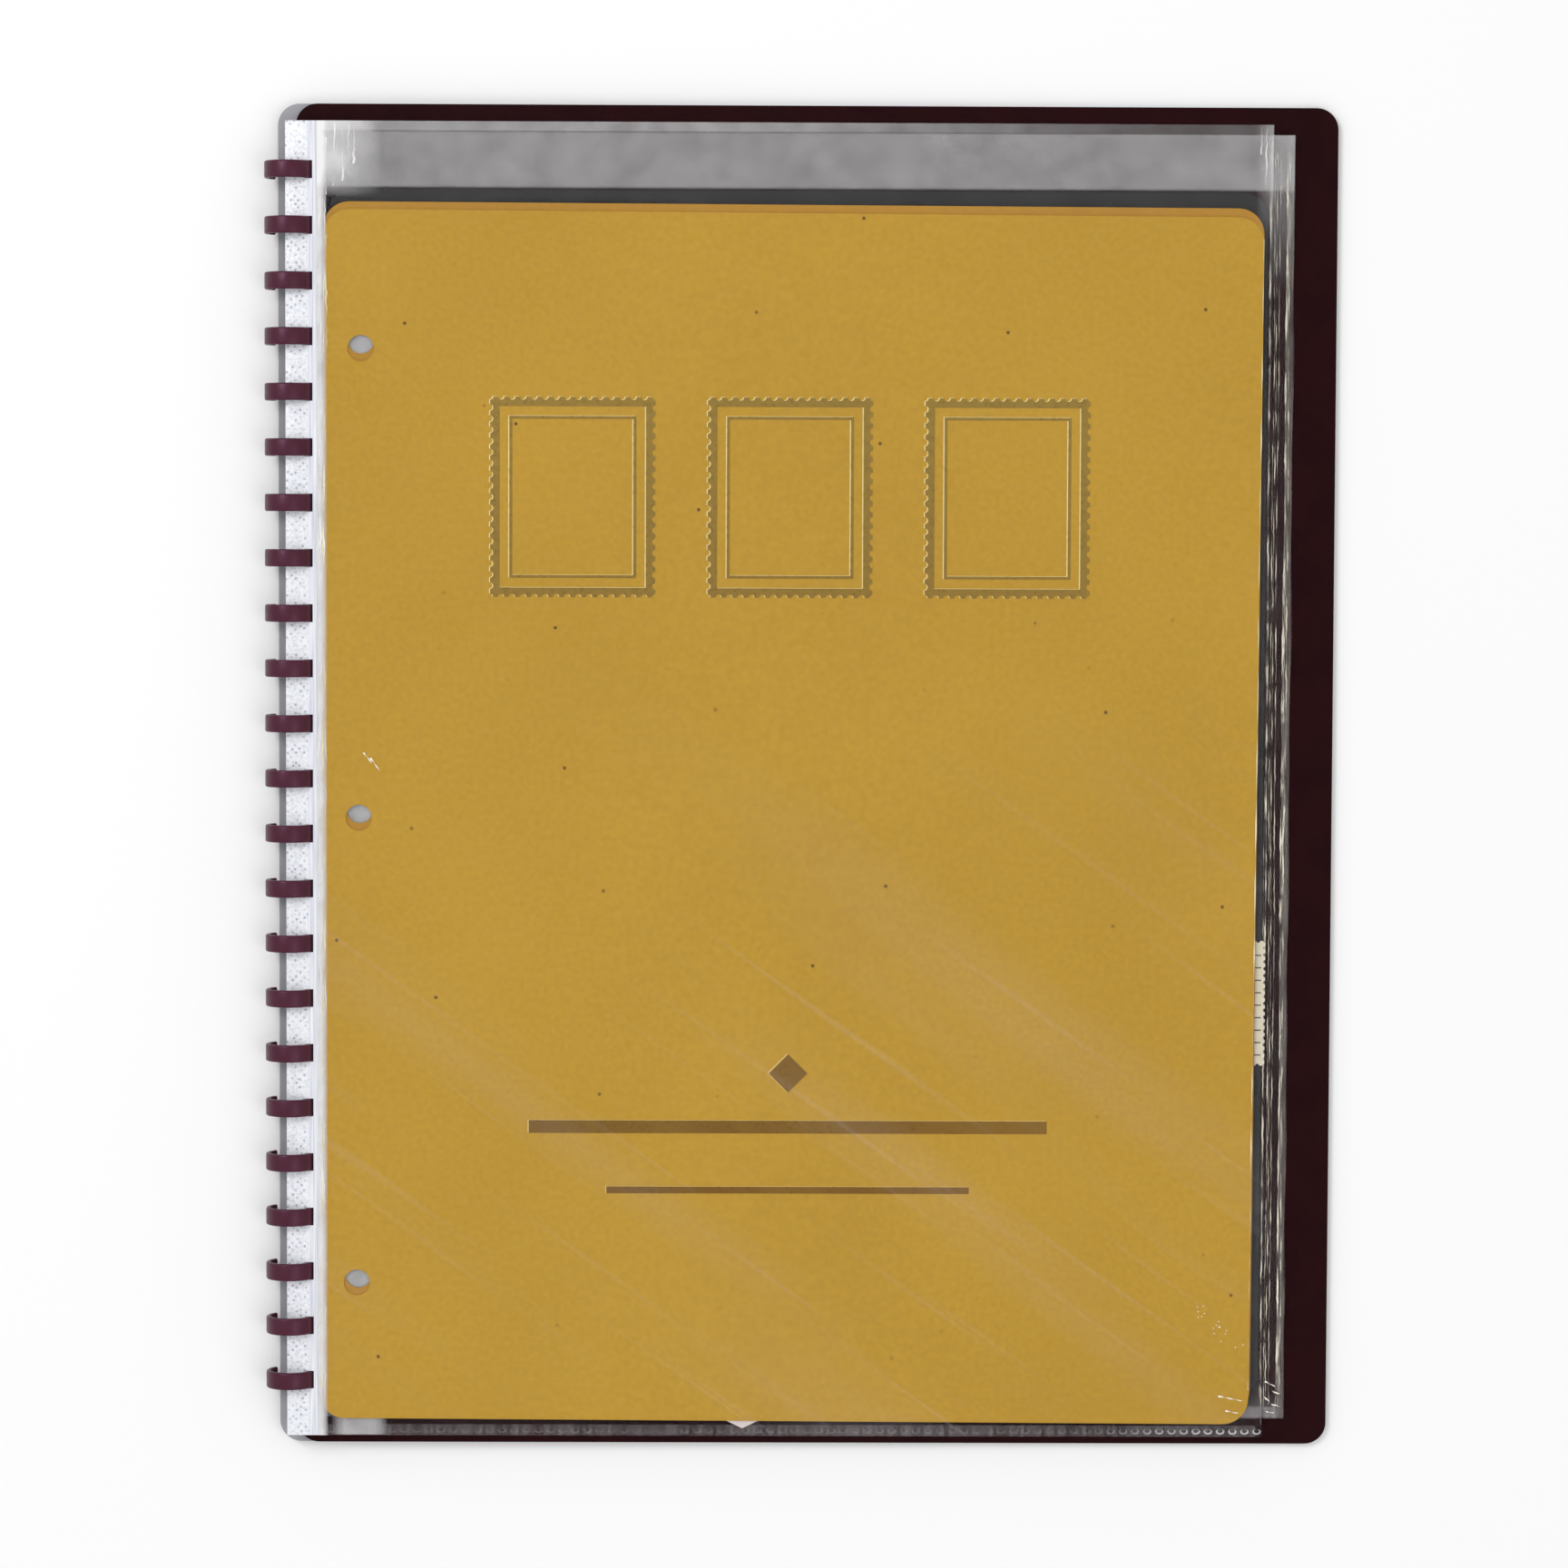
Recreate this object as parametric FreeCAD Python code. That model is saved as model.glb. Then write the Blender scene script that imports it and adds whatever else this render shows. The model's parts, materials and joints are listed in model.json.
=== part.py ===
import FreeCAD, Part
import math
import os

# Ring-bound stamp album lying on a table, open at its first leaf.
# The clear front cover is folded right round behind and lies lowest.
# Millimetres. X runs from the rings to the open edge, Y up the page, Z up.
# Inside the functions, x and height are counted from the rings' common axis.

# Comb: a flat spine with a row of round fingers
RING_COUNT = 23
RING_PITCH = 12.7
RING_RADIUS = 5.6
RING_THICKNESS = 1.1
RING_WIDTH = 4.0
SPINE_LAND = 0.35
SPINE_THICKNESS = 1.05
SPINE_WIDTH = 5.4
SPINE_OVERHANG = 3.5
SPINE_CORNER = 2.0

# Slots that the fingers pass through
SLOT_PLAY = 0.3
SLOT_END_PLAY = 0.25
STRIP_WEB = 0.7

# Covers
COVER_WIDTH = 239.7
COVER_HEIGHT = 310.0
COVER_THICKNESS = 0.6
COVER_CORNER = 5.0
FRONT_COVER_LEFT = -2.7
BACK_COVER_LEFT = 1.5
CREASE_START = 2.0
CREASE_LENGTH = 10.0

# Gaps between the sheets where the rings hold them
SPINE_GAP = 0.9
COVER_GAP = 0.25
LEAF_GAP = 0.15
REST_GAP = 0.15

# Clear pockets
FILM_THICKNESS = 0.12
WELD_WIDTH = 1.6
WELD_HEIGHT = 1.3
POCKET_CORNER = 1.0
TITLE_POCKET_LEFT = -1.2
TITLE_POCKET_HEIGHT = 303.5
TITLE_POCKET_SHIFT = -0.95
STOCK_POCKET_LEFT = 1.5
STOCK_POCKET_SPARE = 4.5
STOCK_POCKET_HEIGHT = 297.2
STOCK_LEAF_COUNT = 3

# Cards, cut to a letter-size page
CARD_WIDTH = 215.9
CARD_HEIGHT = 279.4
CARD_THICKNESS = 0.25
CARD_CORNER = 6.0
CARD_PLAY = 0.06
CARD_SIDE_PLAY = 0.8
TITLE_CARD_LIFT = 2.2
TITLE_CARD_TURN = -0.28
SECOND_CARD_LIFT = 4.1
SECOND_CARD_TURN = -0.2
SECOND_CARD_SHIFT = 0.2
STOCK_CARD_INSET = 2.4
STOCK_CARD_LIFT = 3.3

# Filing holes punched in the title cards
HOLE_RADIUS = 3.0
HOLE_SPACING = 107.95
HOLE_MARGIN = 8.7

# Clear strips and stamps on each stock card
STRIP_COUNT = 6
STRIP_PITCH = 44.0
STRIP_HEIGHT = 24.0
STRIP_FILM = 0.1
STRIP_BEAD = 1.2
STRIP_MARGIN = 7.0
STAMP_THICKNESS = 0.1
STAMP_WIDTH = 26.0
STAMP_HEIGHT = 33.0
STAMP_MARGIN = 14.0
STAMP_END_MARGIN = 5.9
STAMPS_PER_ROW = (5, 6, 4, 6)

# Block of stamps whose edge shows past the title card
BLOCK_WIDTH = 44.0
BLOCK_HEIGHT = 29.0
BLOCK_OVERHANG = 0.9
BLOCK_MIDDLE_Y = -51.5

# Torn slip of paper behind the title cards
SLIP_WIDTH = 38.0
SLIP_HEIGHT = 46.0
SLIP_THICKNESS = 0.1
SLIP_MIDDLE_X = 105.0
SLIP_LIFT = 0.4
SLIP_TEAR = 9.0

# Heights and places that follow from the sizes above
BORE_RADIUS = RING_RADIUS - RING_THICKNESS
AXIS_HEIGHT = RING_RADIUS - SPINE_LAND
FLOOR = -AXIS_HEIGHT
SPINE_TOP = FLOOR + SPINE_THICKNESS
FRONT_LOW = SPINE_TOP + SPINE_GAP
BACK_LOW = FRONT_LOW + COVER_THICKNESS + COVER_GAP
BACK_RIGHT = BACK_COVER_LEFT + COVER_WIDTH
AXIS_X = (RING_RADIUS - BACK_RIGHT) / 2
STRIP_RIGHT = RING_RADIUS + SLOT_PLAY + STRIP_WEB
CARD_LEFT = STRIP_RIGHT + CARD_SIDE_PLAY
TITLE_POCKET_RIGHT = CARD_LEFT + CARD_WIDTH + SECOND_CARD_SHIFT + CARD_SIDE_PLAY + WELD_WIDTH
STOCK_CARD_LEFT = STRIP_RIGHT + STOCK_CARD_INSET
STOCK_POCKET_RIGHT = STOCK_CARD_LEFT + CARD_WIDTH + STOCK_POCKET_SPARE + WELD_WIDTH
# The longest row of stamps fills the card between its margins.
STAMP_ROOM = CARD_WIDTH - STAMP_MARGIN - STAMP_END_MARGIN - STAMP_WIDTH
STAMP_PITCH = STAMP_ROOM / (max(STAMPS_PER_ROW) - 1)
# The sheets above the front cover lean down until the back cover's open edge lies on it.
LEAN = math.degrees(math.asin((BACK_LOW - FLOOR - COVER_THICKNESS - REST_GAP) / BACK_RIGHT))

BEYOND = 2.0
UP_PAGE = FreeCAD.Vector(0, 1, 0)
AXIS_POINT = FreeCAD.Vector(0, 0, 0)
PARTS = {}


def ring_places():
    """Heights up the page of the finger middles."""
    first = -(RING_COUNT - 1) * RING_PITCH / 2
    return [first + i * RING_PITCH for i in range(RING_COUNT)]


def box(left, right, bottom, top, low, high):
    """Plain slab between the given limits."""
    corner = FreeCAD.Vector(left, bottom, low)
    return Part.makeBox(right - left, top - bottom, high - low, corner)


def rounded(solid, radius):
    """The slab with its four upright edges rounded."""
    upright = [e for e in solid.Edges if abs(e.tangentAt(e.FirstParameter).z) > 0.99]
    return solid.makeFillet(radius, upright)


def slots(low, high):
    """Row of slots that clears the fingers through a sheet between two heights."""
    farthest = max(abs(low), abs(high))
    nearest = 0.0 if low < 0 < high else min(abs(low), abs(high))
    inner = math.sqrt(max(BORE_RADIUS**2 - farthest**2, 0.0)) - SLOT_PLAY
    outer = math.sqrt(RING_RADIUS**2 - nearest**2) + SLOT_PLAY
    half = RING_WIDTH / 2 + SLOT_END_PLAY
    row = [box(inner, outer, y - half, y + half, low - BEYOND, high + BEYOND) for y in ring_places()]
    return Part.makeCompound(row)


def keep(name, solid, lean=LEAN):
    """Set a shape at the rings' axis, leaning with the stack, under its name."""
    shape = solid.copy()
    shape.rotate(AXIS_POINT, UP_PAGE, lean)
    shape.translate(FreeCAD.Vector(AXIS_X, 0, AXIS_HEIGHT))
    PARTS[name] = shape


def make_comb():
    """Flat spine under the sheets, and the round fingers that stand on it."""
    reach = ring_places()[-1] + RING_WIDTH / 2 + SPINE_OVERHANG
    spine = box(-SPINE_WIDTH / 2, SPINE_WIDTH / 2, -reach, reach, FLOOR, SPINE_TOP)
    keep("comb_spine", rounded(spine, SPINE_CORNER), lean=0)
    fingers = []
    for y in ring_places():
        start = FreeCAD.Vector(0, y - RING_WIDTH / 2, 0)
        loop = Part.makeCylinder(RING_RADIUS, RING_WIDTH, start, UP_PAGE)
        loop = loop.cut(Part.makeCylinder(BORE_RADIUS, RING_WIDTH, start, UP_PAGE))
        reach = 2 * RING_RADIUS
        seat = box(-reach, reach, y - RING_WIDTH, y + RING_WIDTH, -reach, SPINE_TOP)
        fingers.append(loop.cut(seat).Solids[0])
    keep("comb_fingers", Part.makeCompound(fingers), lean=0)


def make_front_cover():
    """Clear cover: a slotted margin, a crease down to the table, and a flat panel."""
    right = FRONT_COVER_LEFT + COVER_WIDTH
    crease = STRIP_RIGHT + CREASE_START
    under = [
        (FRONT_COVER_LEFT, FRONT_LOW),
        (crease, FRONT_LOW),
        (crease + CREASE_LENGTH, FLOOR),
        (right, FLOOR),
    ]
    over = [(x, z + COVER_THICKNESS) for x, z in reversed(under)]
    half = COVER_HEIGHT / 2
    outline = [FreeCAD.Vector(x, -half, z) for x, z in under + over + under[:1]]
    sheet = Part.Face(Part.makePolygon(outline)).extrude(UP_PAGE * COVER_HEIGHT)
    blank = box(FRONT_COVER_LEFT, right, -half, half, FLOOR - BEYOND, BEYOND)
    sheet = sheet.common(rounded(blank, COVER_CORNER))
    keep("front_cover", sheet.cut(slots(FRONT_LOW, FRONT_LOW + COVER_THICKNESS)).Solids[0], lean=0)


def make_back_cover():
    """Flat cover under the leaves."""
    high = BACK_LOW + COVER_THICKNESS
    half = COVER_HEIGHT / 2
    sheet = rounded(box(BACK_COVER_LEFT, BACK_RIGHT, -half, half, BACK_LOW, high), COVER_CORNER)
    keep("back_cover", sheet.cut(slots(BACK_LOW, high)))


def make_pocket(leaf, left, right, bottom, top, low, high):
    """One clear pocket, open at the top: binding strip, two films and their welds."""
    strip = box(left, STRIP_RIGHT, bottom, top, low, high)
    keep(leaf + "_binding_strip", strip.cut(slots(low, high)))
    film = rounded(box(STRIP_RIGHT, right, bottom, top, low, low + FILM_THICKNESS), POCKET_CORNER)
    keep(leaf + "_back_film", film)
    front = film.copy()
    front.translate(FreeCAD.Vector(0, 0, high - low - FILM_THICKNESS))
    keep(leaf + "_front_film", front)
    inner_low = low + FILM_THICKNESS
    inner_high = high - FILM_THICKNESS
    weld_top = bottom + WELD_HEIGHT
    foot = box(STRIP_RIGHT, right - WELD_WIDTH, bottom, weld_top, inner_low, inner_high)
    side = box(right - WELD_WIDTH, right, bottom, top, inner_low, inner_high)
    corners = rounded(box(STRIP_RIGHT - WELD_WIDTH, right, bottom, top, inner_low, inner_high), POCKET_CORNER)
    keep(leaf + "_edge_weld", Part.makeCompound([foot, side.common(corners)]))


def make_card(left, bottom, low):
    """Page-size card with rounded corners."""
    blank = box(left, left + CARD_WIDTH, bottom, bottom + CARD_HEIGHT, low, low + CARD_THICKNESS)
    return rounded(blank, CARD_CORNER)


def make_title_card(name, left, bottom, low, turn):
    """Card with the three filing holes along its bound edge, lying a little askew."""
    card = make_card(left, bottom, low)
    middle = bottom + CARD_HEIGHT / 2
    for y in (middle - HOLE_SPACING, middle, middle + HOLE_SPACING):
        start = FreeCAD.Vector(left + HOLE_MARGIN, y, low - BEYOND)
        card = card.cut(Part.makeCylinder(HOLE_RADIUS, CARD_THICKNESS + 2 * BEYOND, start))
    card.rotate(FreeCAD.Vector(left + CARD_WIDTH / 2, middle, 0), FreeCAD.Vector(0, 0, 1), turn)
    keep(name, card)


def make_slip(pocket_bottom, low):
    """Slip of paper with one torn corner, standing in the pocket behind the cards."""
    bottom = pocket_bottom + WELD_HEIGHT + SLIP_LIFT
    left = SLIP_MIDDLE_X - SLIP_WIDTH / 2
    right = SLIP_MIDDLE_X + SLIP_WIDTH / 2
    outline = [
        (left, bottom + SLIP_TEAR),
        (SLIP_MIDDLE_X, bottom),
        (right, bottom + SLIP_TEAR),
        (right, bottom + SLIP_HEIGHT),
        (left, bottom + SLIP_HEIGHT),
    ]
    points = [FreeCAD.Vector(x, y, low) for x, y in outline + outline[:1]]
    lift = FreeCAD.Vector(0, 0, SLIP_THICKNESS)
    keep("paper_slip", Part.Face(Part.makePolygon(points)).extrude(lift))


def make_title_leaf(low):
    """First leaf, with two title cards and a slip of paper."""
    inner = SLIP_THICKNESS + 2 * CARD_THICKNESS + 4 * CARD_PLAY
    high = low + inner + 2 * FILM_THICKNESS
    bottom = TITLE_POCKET_SHIFT - TITLE_POCKET_HEIGHT / 2
    top = bottom + TITLE_POCKET_HEIGHT
    make_pocket("leaf_1", TITLE_POCKET_LEFT, TITLE_POCKET_RIGHT, bottom, top, low, high)
    floor = bottom + WELD_HEIGHT
    slip_low = low + FILM_THICKNESS + CARD_PLAY
    second_low = slip_low + SLIP_THICKNESS + CARD_PLAY
    title_low = second_low + CARD_THICKNESS + CARD_PLAY
    make_slip(bottom, slip_low)
    second_left = CARD_LEFT + SECOND_CARD_SHIFT
    make_title_card("second_title_card", second_left, floor + SECOND_CARD_LIFT, second_low, SECOND_CARD_TURN)
    make_title_card("title_card", CARD_LEFT, floor + TITLE_CARD_LIFT, title_low, TITLE_CARD_TURN)


def make_strips(number, bottom, low):
    """Clear strips across a stock card, each held along its lower edge."""
    left = STOCK_CARD_LEFT + STRIP_MARGIN
    right = STOCK_CARD_LEFT + CARD_WIDTH - STRIP_MARGIN
    film_low = low + STAMP_THICKNESS
    strips = []
    for row in range(STRIP_COUNT):
        y = bottom + STRIP_MARGIN + row * STRIP_PITCH
        film = box(left, right, y, y + STRIP_HEIGHT, film_low, film_low + STRIP_FILM)
        bead = box(left, right, y, y + STRIP_BEAD, low, film_low)
        strips.append(film.fuse(bead).removeSplitter())
    keep(f"stock_strips_{number}", Part.makeCompound(strips))


def make_stamps(number, bottom, low):
    """Rows of stamps tucked behind the strips of a stock card."""
    left = STOCK_CARD_LEFT + STAMP_MARGIN
    stamps = []
    for row in range(STRIP_COUNT - 1):
        y = bottom + STRIP_MARGIN + row * STRIP_PITCH + STRIP_BEAD + CARD_PLAY
        count = STAMPS_PER_ROW[(row + number) % len(STAMPS_PER_ROW)]
        for column in range(count):
            x = left + column * STAMP_PITCH
            stamps.append(box(x, x + STAMP_WIDTH, y, y + STAMP_HEIGHT, low, low + STAMP_THICKNESS))
    keep(f"stamps_{number}", Part.makeCompound(stamps))


def make_stock_leaf(number, low, room=0.0):
    """Leaf with a dark stock card, its strips and its stamps. Returns its upper height.

    room is the extra depth that the pocket needs for what lies over the strips.
    """
    inner = CARD_THICKNESS + STAMP_THICKNESS + STRIP_FILM + 2 * CARD_PLAY + room
    high = low + inner + 2 * FILM_THICKNESS
    half = STOCK_POCKET_HEIGHT / 2
    make_pocket(f"leaf_{number}", STOCK_POCKET_LEFT, STOCK_POCKET_RIGHT, -half, half, low, high)
    bottom = WELD_HEIGHT + STOCK_CARD_LIFT - half
    card_low = low + FILM_THICKNESS + CARD_PLAY
    card_high = card_low + CARD_THICKNESS
    keep(f"stock_card_{number}", make_card(STOCK_CARD_LEFT, bottom, card_low))
    make_strips(number, bottom, card_high)
    make_stamps(number, bottom, card_high)
    return high


def make_block(leaf_high):
    """Block of stamps lying over the strips, past the open edge of its stock card."""
    right = STOCK_CARD_LEFT + CARD_WIDTH + BLOCK_OVERHANG
    bottom = BLOCK_MIDDLE_Y - BLOCK_HEIGHT / 2
    high = leaf_high - FILM_THICKNESS - CARD_PLAY
    block = box(right - BLOCK_WIDTH, right, bottom, bottom + BLOCK_HEIGHT, high - STAMP_THICKNESS, high)
    keep("stamp_block", block)


def main():
    """Build the stack from the table up and write one file for each piece."""
    make_comb()
    make_front_cover()
    make_back_cover()
    low = BACK_LOW + COVER_THICKNESS + LEAF_GAP
    for number in range(STOCK_LEAF_COUNT + 1, 2, -1):
        low = make_stock_leaf(number, low) + LEAF_GAP
    high = make_stock_leaf(2, low, room=STAMP_THICKNESS)
    make_block(high)
    make_title_leaf(high + LEAF_GAP)
    os.makedirs("parts", exist_ok=True)
    for name, shape in PARTS.items():
        shape.exportStep(f"parts/{name}.step")
        print(name, len(shape.Solids), shape.isValid(), round(shape.Volume, 3))


main()
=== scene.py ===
"""Looks of a comb-bound stamp album that lies open at its title leaf."""

import json
import logging
import math
import random
from dataclasses import dataclass
from enum import Enum
from typing import Callable, Mapping, Sequence

import bpy
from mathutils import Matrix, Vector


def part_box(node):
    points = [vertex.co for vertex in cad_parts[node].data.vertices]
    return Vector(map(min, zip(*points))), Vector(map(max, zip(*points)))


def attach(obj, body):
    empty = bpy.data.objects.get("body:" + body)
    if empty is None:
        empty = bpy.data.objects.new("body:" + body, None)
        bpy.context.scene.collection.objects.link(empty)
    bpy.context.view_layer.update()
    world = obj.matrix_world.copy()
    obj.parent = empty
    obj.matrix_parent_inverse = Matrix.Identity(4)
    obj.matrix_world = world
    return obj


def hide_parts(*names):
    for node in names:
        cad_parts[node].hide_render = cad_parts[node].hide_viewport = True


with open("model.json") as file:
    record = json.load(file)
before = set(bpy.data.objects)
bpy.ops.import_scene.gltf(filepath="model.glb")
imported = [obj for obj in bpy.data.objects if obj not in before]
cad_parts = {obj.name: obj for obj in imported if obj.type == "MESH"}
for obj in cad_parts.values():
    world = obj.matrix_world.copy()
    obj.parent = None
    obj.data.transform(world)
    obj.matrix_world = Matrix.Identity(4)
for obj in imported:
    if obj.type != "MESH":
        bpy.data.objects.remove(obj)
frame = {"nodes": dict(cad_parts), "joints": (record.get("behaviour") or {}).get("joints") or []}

LOG = logging.getLogger("stamp_album")
MM = 0.001
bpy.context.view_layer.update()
RING_AXIS = next(j["pos_m"] for j in frame["joints"] if j["name"] == "back_cover_hinge")
FINGERS = 23
FINGER_WIDTH = 4.0 * MM
FULL_TURN = 2 * math.pi
FILM_THICKNESS = 0.12 * MM
SKIN = 0.02 * MM
CLEAR_OF_FACE = 0.005 * MM
NOISE_LOW, NOISE_HIGH = 0.3, 0.7
MIX_FACTOR, MIX_FIRST, MIX_SECOND, MIX_COLOUR = 0, 6, 7, 2

Piece = bpy.types.Object
Socket = bpy.types.NodeSocket
Spot = tuple[float, float]
Point = tuple[float, float, float]
Colour = tuple[float, float, float]
Row = tuple[float, ...]
Height = Callable[[float, float], float]
Value = Socket | float | Colour


class Pattern(Enum):
    """Ways in which a film's haze is spread; one of them adds painted sheen in slanting bands."""

    EVEN = "even"
    SHEEN_STREAKED = "streaked"


class Side(Enum):
    """The two films of a pocket."""

    FRONT = "front"
    BACK = "back"


# Modelling helpers, with all lengths in metres


def operated(pieces: Sequence[Piece], operator: Callable, **settings: object) -> Piece:
    """Run one of Blender's operators on some pieces alone, with the first one active.

    Args:
        pieces: The pieces to work on.
        operator: The operator.
        **settings: Settings of the operator.

    Returns:
        The first piece.
    """
    bpy.ops.object.select_all(action="DESELECT")
    for piece in pieces:
        piece.select_set(True)
    bpy.context.view_layer.objects.active = pieces[0]
    operator(**settings)
    return pieces[0]


def settle(piece: Piece) -> Piece:
    """Put a piece's place, turn and scale into its mesh."""
    return operated([piece], bpy.ops.object.transform_apply)


def smooth(piece: Piece, degrees: float) -> Piece:
    """Shade a piece smooth, but for edges sharper than an angle."""
    return operated([piece], bpy.ops.object.shade_smooth_by_angle, angle=math.radians(degrees))


def finish_with(piece: Piece, kind: str, **settings: object) -> Piece:
    """Add a modifier to a piece and apply it.

    Args:
        piece: The piece to change.
        kind: Blender's name of the modifier.
        **settings: Settings of the modifier.

    Returns:
        The same piece.
    """
    modifier = piece.modifiers.new(kind.lower(), kind)
    for key, value in settings.items():
        setattr(modifier, key, value)
    return operated([piece], bpy.ops.object.modifier_apply, modifier=modifier.name)


def thickened(sheet: Piece, thickness: float) -> Piece:
    """Give a flat sheet a thickness, half to each side."""
    return finish_with(sheet, "SOLIDIFY", thickness=thickness, offset=0)


def cut(piece: Piece, cutter: Piece) -> Piece:
    """Cut one piece by another and throw the cutter away.

    Args:
        piece: The piece to cut.
        cutter: The piece that cuts.

    Returns:
        The cut piece.
    """
    finish_with(piece, "BOOLEAN", operation="DIFFERENCE", object=cutter, solver="EXACT")
    bpy.data.objects.remove(cutter)
    return piece


def named(piece: Piece, name: str) -> Piece:
    """Name a piece and its mesh."""
    piece.name = piece.data.name = name
    return piece


def primitive(kind: str, **settings: object) -> Piece:
    """Add one of Blender's mesh primitives, such as a cube."""
    getattr(bpy.ops.mesh, f"primitive_{kind}_add")(**settings)
    return bpy.context.object


def stretched(piece: Piece, low: Point, high: Point) -> Piece:
    """Stretch a primitive of unit size between two corners.

    Args:
        piece: The primitive.
        low: Its lowest corner.
        high: Its highest corner.

    Returns:
        The settled piece.
    """
    flattest = 1e-9
    piece.location = [(a + b) / 2 for a, b in zip(low, high)]
    piece.scale = [max(b - a, flattest) for a, b in zip(low, high)]
    return settle(piece)


def block(low: Point, high: Point) -> Piece:
    """Add a slab between two corners."""
    return stretched(primitive("cube", size=1), low, high)


def grid(low: Spot, high: Spot, columns: int, rows: int) -> Piece:
    """Add a flat sheet between two corners, divided into columns and rows."""
    sheet = primitive("grid", x_subdivisions=columns, y_subdivisions=rows, size=1)
    return stretched(sheet, (*low, 0), (*high, 0))


def prism(sides: int, radius: float, depth: float, middle: Point = (0, 0, 0)) -> Piece:
    """Add an upright prism, which is a disc when it has many sides."""
    form = {"vertices": sides, "radius": radius, "depth": depth, "location": middle}
    return settle(primitive("cylinder", **form))


def joined(name: str, pieces: Sequence[Piece]) -> Piece:
    """Join several pieces into the first, and name it."""
    return named(operated(pieces, bpy.ops.object.join), name)


def copied(piece: Piece, move: Point) -> Piece:
    """Copy a piece with a mesh of its own and move the copy.

    Args:
        piece: The piece to copy.
        move: How far the copy moves.

    Returns:
        The settled copy.
    """
    twin = piece.copy()
    twin.data = piece.data.copy()
    bpy.context.collection.objects.link(twin)
    twin.location = move
    return settle(twin)


def raised(piece: Piece, height: Height) -> Piece:
    """Lift every point of a piece by a height that depends on its place.

    Args:
        piece: The piece to lift.
        height: Height for a place in x and y.

    Returns:
        The same piece.
    """
    for vertex in piece.data.vertices:
        vertex.co.z += height(vertex.co.x, vertex.co.y)
    piece.data.update()
    return piece


# Finishes


class Shader:
    """A material with one surface shader, and short ways to add its nodes."""

    def __init__(self, name: str, lay: Callable[["Shader"], None]) -> None:
        """Make a material with a Principled shader.

        Args:
            name: Name of the material.
            lay: Sets the shader's inputs.
        """
        self.material = bpy.data.materials.new(name)
        self.material.use_nodes = True
        self.tree = self.material.node_tree
        self.surface = self.tree.nodes["Principled BSDF"]
        self.place = self.tree.nodes.new("ShaderNodeTexCoord").outputs["Object"]
        lay(self)

    def feed(self, socket: Socket, value: Value) -> None:
        """Link an input to a socket, or set it to a number, a vector or a colour.

        Args:
            socket: The input.
            value: What it gets.
        """
        if isinstance(value, Socket):
            self.tree.links.new(value, socket)
        else:
            socket.default_value = (*value, 1.0) if socket.type == "RGBA" else value

    def set(self, **inputs: Value) -> None:
        """Feed inputs of the surface by name, where an underscore stands for a space."""
        for key, value in inputs.items():
            self.feed(self.surface.inputs[key.replace("_", " ")], value)

    def node(
        self, kind: str, inputs: Mapping[int | str, Value], **choices: str
    ) -> bpy.types.NodeOutputs:
        """Add a node, make its choices and feed its inputs.

        Args:
            kind: Blender's name of the node, without its prefix.
            inputs: What the inputs get, by number or name.
            **choices: Choices of the node.

        Returns:
            The node's outputs.
        """
        node = self.tree.nodes.new("ShaderNode" + kind)
        for key, choice in choices.items():
            setattr(node, key, choice)
        for key, value in inputs.items():
            self.feed(node.inputs[key], value)
        return node.outputs

    def mapped(self, turn: float, scale: Point) -> Socket:
        """Object coordinates turned in the sheet's plane, in degrees, and then scaled."""
        spun = self.node("Mapping", {"Vector": self.place, "Rotation": (0, 0, math.radians(turn))})
        return self.node("Mapping", {"Vector": spun["Vector"], "Scale": scale})["Vector"]

    def noise(self, scale: float, detail: float = 3.0, where: Socket | None = None) -> Socket:
        """Noise of a number of cells to the metre, over the object or a mapping of it."""
        inputs = {"Vector": where or self.place, "Scale": scale, "Detail": detail}
        return self.node("TexNoise", inputs)["Fac"]

    def cells(self, scale: float, where: Socket | None = None, scatter: float = 1.0) -> Socket:
        """Distance in the sheet's plane to the nearest of scattered points, in cells."""
        inputs = {"Vector": where or self.place, "Scale": scale, "Randomness": scatter}
        return self.node("TexVoronoi", inputs, voronoi_dimensions="2D")["Distance"]

    def ranged(
        self, value: Value, low: float, high: float, to_low: float = 0.0, to_high: float = 1.0
    ) -> Socket:
        """A value carried from one range to another, and held inside it."""
        inputs = dict(enumerate((value, low, high, to_low, to_high)))
        return self.node("MapRange", inputs)["Result"]

    def mottled(self, scale: float, low: float, high: float, detail: float = 3.0) -> Socket:
        """Noise spread over a range."""
        return self.ranged(self.noise(scale, detail), NOISE_LOW, NOISE_HIGH, low, high)

    def maths(self, operation: str, first: Value, second: Value) -> Socket:
        """Two values worked out by one of Blender's operations."""
        return self.node("Math", {0: first, 1: second}, operation=operation)["Value"]

    def axis(self, name: str) -> Socket:
        """One of the object coordinates, named X, Y or Z."""
        return self.node("SeparateXYZ", {"Vector": self.place})[name]

    def blended(self, factor: Value, first: Value, second: Value) -> Socket:
        """Two colours mixed by the share of the second."""
        inputs = {MIX_FACTOR: factor, MIX_FIRST: first, MIX_SECOND: second}
        return self.node("Mix", inputs, data_type="RGBA")[MIX_COLOUR]

    def bump(self, height: Socket, strength: float, depth: float) -> None:
        """Add relief of a given depth."""
        inputs = {"Height": height, "Strength": strength, "Distance": depth}
        self.set(Normal=self.node("Bump", inputs)["Normal"])


@dataclass(frozen=True)
class Finish:
    """A named surface. Each kind of finish lays out its own shader."""

    name: str

    def lay(self, s: Shader) -> None:
        """Set the surface of an empty shader; each kind of finish has its own."""
        raise NotImplementedError(self.name)

    def material(self) -> bpy.types.Material:
        """The one material of this finish, made when it is first asked for."""
        return bpy.data.materials.get(self.name) or Shader(self.name, self.lay).material


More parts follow.
